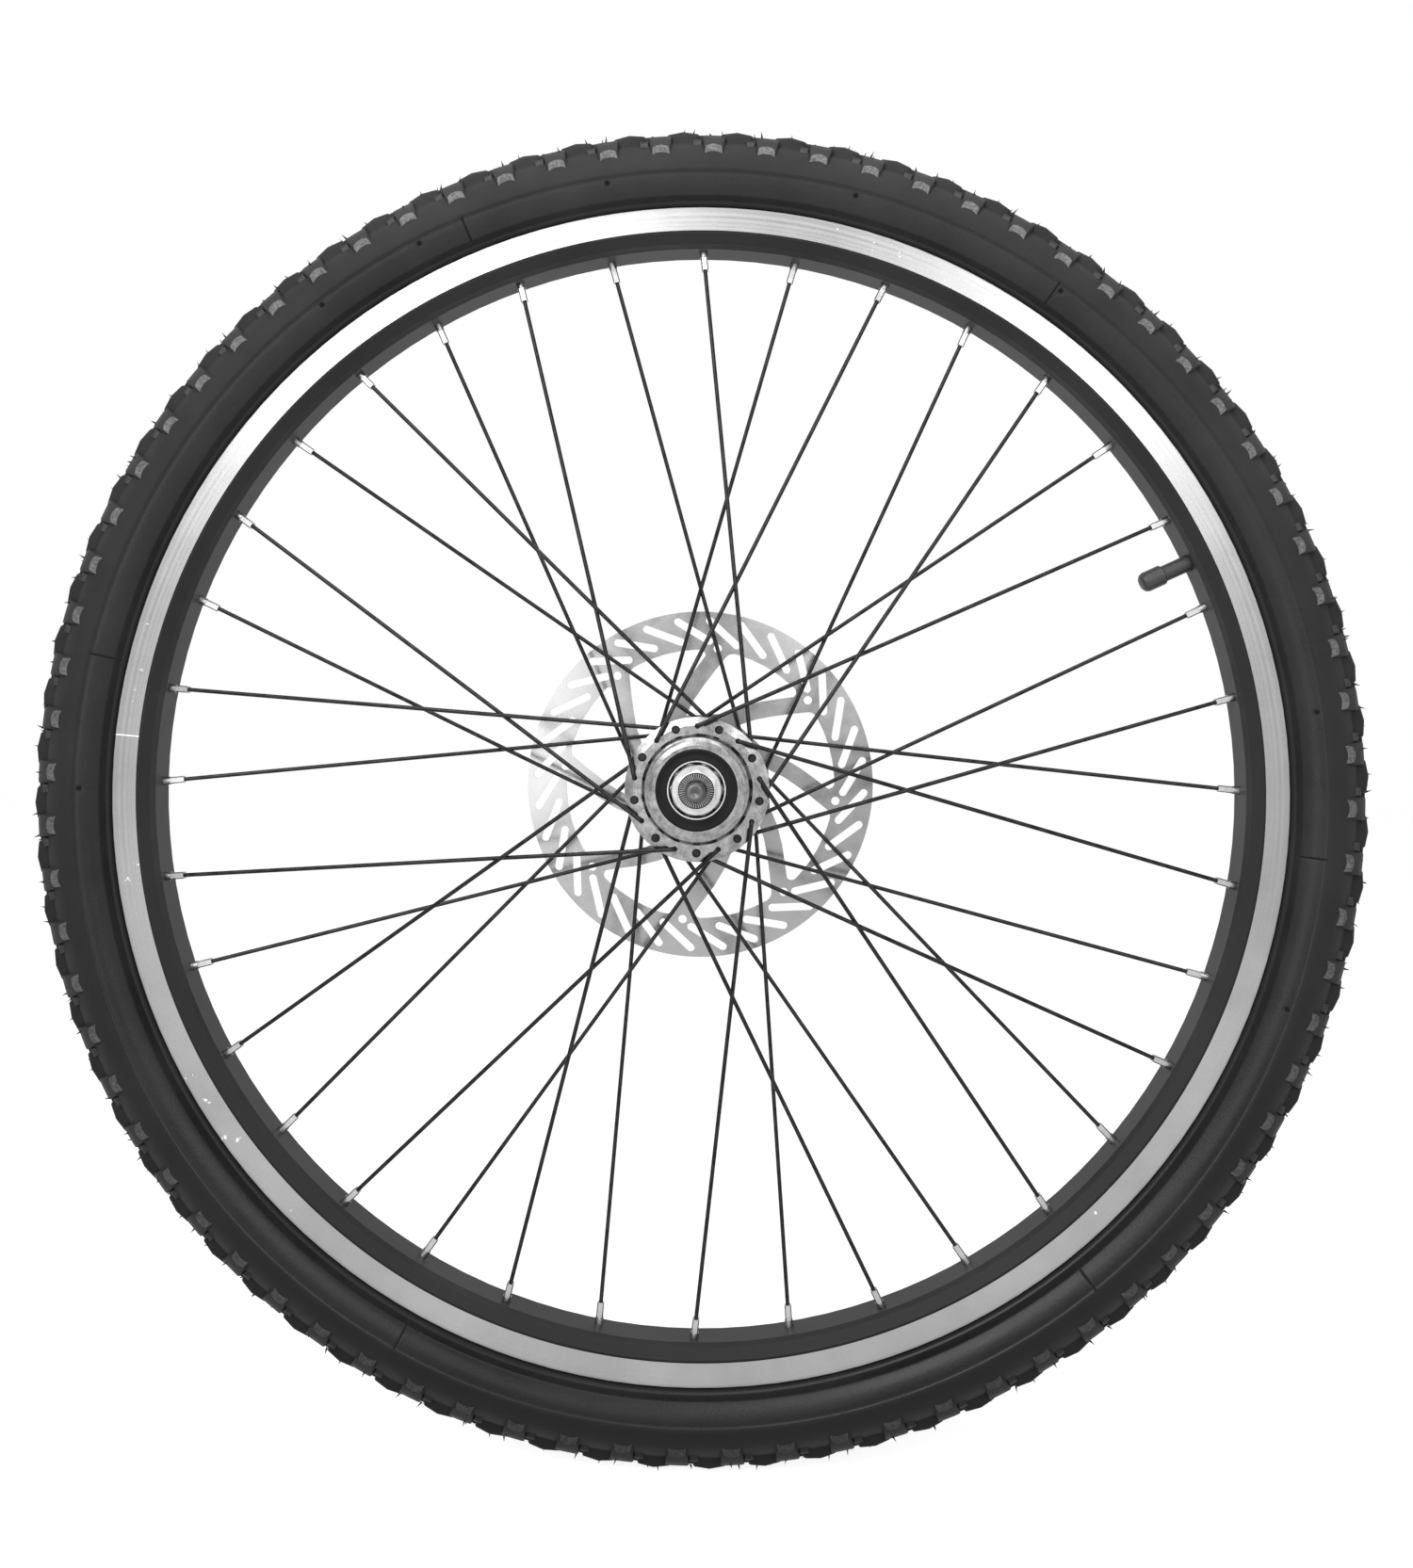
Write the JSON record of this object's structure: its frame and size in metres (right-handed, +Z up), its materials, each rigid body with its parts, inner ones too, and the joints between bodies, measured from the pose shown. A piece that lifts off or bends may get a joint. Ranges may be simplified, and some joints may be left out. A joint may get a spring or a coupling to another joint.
{
  "type": "bicycle wheel",
  "caption": "Front bicycle wheel with a knobby tyre, laced hub, disc brake rotor and valve",
  "frame": {"origin": "on the axle's centre line, in the middle plane of the rim", "axes": "Y is the axle and points to the wheel's left, where the rotor is; X points forwards and Z is up"},
  "size_m": [0.651, 0.14, 0.651],
  "materials": {
    "tyre_rubber": "dull black rubber, a little grey with dust",
    "tube_rubber": "soft black butyl rubber",
    "valve_rubber": "smooth black rubber",
    "brass": "plain turned brass",
    "cap_plastic": "matte black plastic",
    "rim_metal": "machined brake tracks, black anodised body",
    "nipple_metal": "bright nickel plate",
    "spoke_steel": "dark drawn steel wire",
    "hub_metal": "silver anodised aluminium, smooth",
    "bearing_steel": "bright ground steel",
    "seal_plastic": "matte black plastic",
    "axle_steel": "dark oiled steel",
    "rotor_steel": "ground stainless steel",
    "bolt_steel": "black steel"
  },
  "bodies": {
    "axle_set": {"axle": "axle_steel", "cone_right": "bearing_steel", "cone_left": "bearing_steel", "axle_washers": "bearing_steel", "locknuts": "axle_steel"},
    "wheel": {"tyre": "tyre_rubber", "inner_tube": "tube_rubber", "valve_stem": "valve_rubber", "valve_core": "brass", "rim": "rim_metal", "rim_tape": "tube_rubber", "nipples": "nipple_metal", "hub_shell": "hub_metal", "bearing_cup_right": "bearing_steel", "bearing_cup_left": "bearing_steel", "dust_seal_right": "seal_plastic", "dust_seal_left": "seal_plastic", "brake_rotor": "rotor_steel", "rotor_bolts": "bolt_steel", "spoke_01": "spoke_steel", "spoke_02": "spoke_steel", "spoke_03": "spoke_steel", "spoke_04": "spoke_steel", "spoke_05": "spoke_steel", "spoke_06": "spoke_steel", "spoke_07": "spoke_steel", "spoke_08": "spoke_steel", "spoke_09": "spoke_steel", "spoke_10": "spoke_steel", "spoke_11": "spoke_steel", "spoke_12": "spoke_steel", "spoke_13": "spoke_steel", "spoke_14": "spoke_steel", "spoke_15": "spoke_steel", "spoke_16": "spoke_steel", "spoke_17": "spoke_steel", "spoke_18": "spoke_steel", "spoke_19": "spoke_steel", "spoke_20": "spoke_steel", "spoke_21": "spoke_steel", "spoke_22": "spoke_steel", "spoke_23": "spoke_steel", "spoke_24": "spoke_steel", "spoke_25": "spoke_steel", "spoke_26": "spoke_steel", "spoke_27": "spoke_steel", "spoke_28": "spoke_steel", "spoke_29": "spoke_steel", "spoke_30": "spoke_steel", "spoke_31": "spoke_steel", "spoke_32": "spoke_steel", "spoke_33": "spoke_steel", "spoke_34": "spoke_steel", "spoke_35": "spoke_steel", "spoke_36": "spoke_steel"},
    "ball_set_right": {"balls_right": "bearing_steel"},
    "ball_set_left": {"balls_left": "bearing_steel"},
    "cap": {"valve_cap": "cap_plastic"},
    "pin": {"valve_pin": "brass"}
  },
  "joints": [
    {"name": "wheel_spin", "type": "hinge", "parent": "axle_set", "child": "wheel", "pos_m": [0, 0, 0], "axis": [0, 1, 0], "continuous": true},
    {"name": "balls_right_roll", "type": "hinge", "parent": "axle_set", "child": "ball_set_right", "pos_m": [0, -0.0384, 0], "axis": [0, 1, 0], "continuous": true},
    {"name": "balls_left_roll", "type": "hinge", "parent": "axle_set", "child": "ball_set_left", "pos_m": [0, 0.0384, 0], "axis": [0, 1, 0], "continuous": true},
    {"name": "cap_unscrew", "type": "slide", "parent": "wheel", "child": "cap", "axis": [-0.9063, 0, -0.4226], "range_m": [0, 0.014]},
    {"name": "valve_press", "type": "slide", "parent": "wheel", "child": "pin", "axis": [0.9063, 0, 0.4226], "range_m": [0, 0.0015], "stiffness_N_per_m": 400}
  ],
  "couplings": [
    {"joint": "balls_right_roll", "follows": "wheel_spin", "ratio": 0.598},
    {"joint": "balls_left_roll", "follows": "wheel_spin", "ratio": 0.598}
  ]
}
